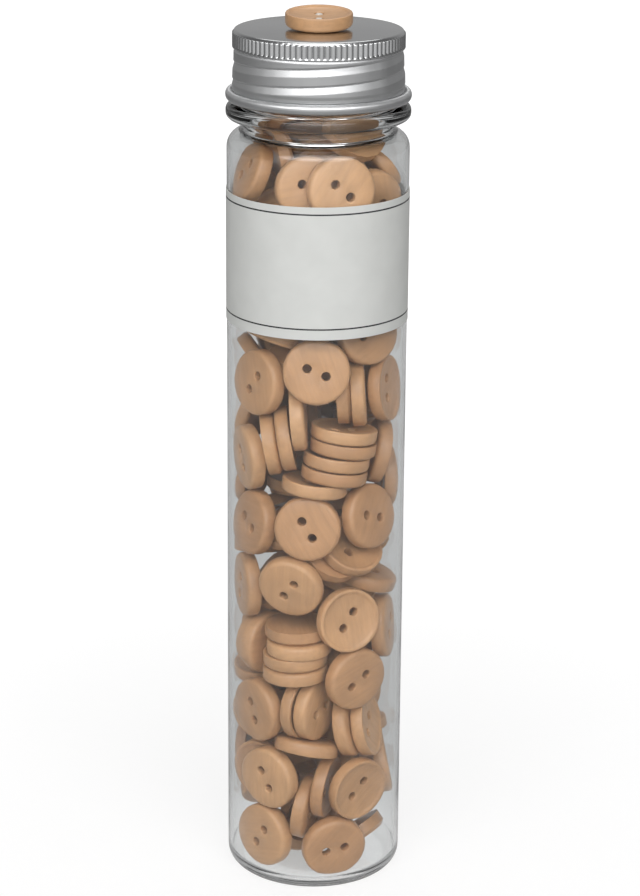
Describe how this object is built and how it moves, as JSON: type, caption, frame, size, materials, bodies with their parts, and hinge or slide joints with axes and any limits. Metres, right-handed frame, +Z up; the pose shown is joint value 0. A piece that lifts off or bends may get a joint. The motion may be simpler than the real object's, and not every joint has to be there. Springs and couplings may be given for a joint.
{
  "type": "screw-cap tube jar of wooden buttons",
  "caption": "Clear plastic tube jar with a rolled metal screw cap, a plain paper label round it and a wooden button on top; it holds and shows loose two-hole wooden buttons.",
  "frame": {"origin": "centre of the standing ring under the tube, on the table", "axes": "+Z up along the tube's axis to the cap; the seen side faces -Y; +X is to the seen side's right"},
  "size_m": [0.0414, 0.0415, 0.205],
  "materials": {
    "clear_plastic": "clear, glossy, blown",
    "rolled_metal": "satin rolled sheet",
    "liner": "soft foam",
    "paper": "uncoated paper",
    "turned_wood": "satin varnish",
    "glue": "clear, set"
  },
  "bodies": {
    "tube": {"tube": "clear_plastic", "label": "paper", "buttons_layer_01": "turned_wood", "buttons_layer_02": "turned_wood", "buttons_layer_03": "turned_wood", "buttons_layer_04": "turned_wood", "buttons_layer_05": "turned_wood", "buttons_layer_06": "turned_wood", "buttons_layer_07": "turned_wood", "buttons_layer_08": "turned_wood", "buttons_layer_09": "turned_wood", "buttons_layer_10": "turned_wood", "buttons_layer_11": "turned_wood", "buttons_layer_12": "turned_wood", "buttons_layer_13": "turned_wood", "buttons_layer_14": "turned_wood"},
    "liner": {"cap_liner": "liner"},
    "cap": {"screw_cap": "rolled_metal", "cap_button": "turned_wood", "cap_glue": "glue"}
  },
  "joints": [
    {"name": "cap_lift", "type": "slide", "parent": "tube", "child": "liner", "axis": [0, 0, 1], "range_m": [0, 0.017]},
    {"name": "cap_turn", "type": "hinge", "parent": "liner", "child": "cap", "pos_m": [0, 0, 0.1996], "axis": [0, 0, 1], "range_deg": [0, 1026]}
  ],
  "couplings": [
    {"joint": "cap_turn", "follows": "cap_lift", "rad_per_m": 1047.2}
  ]
}
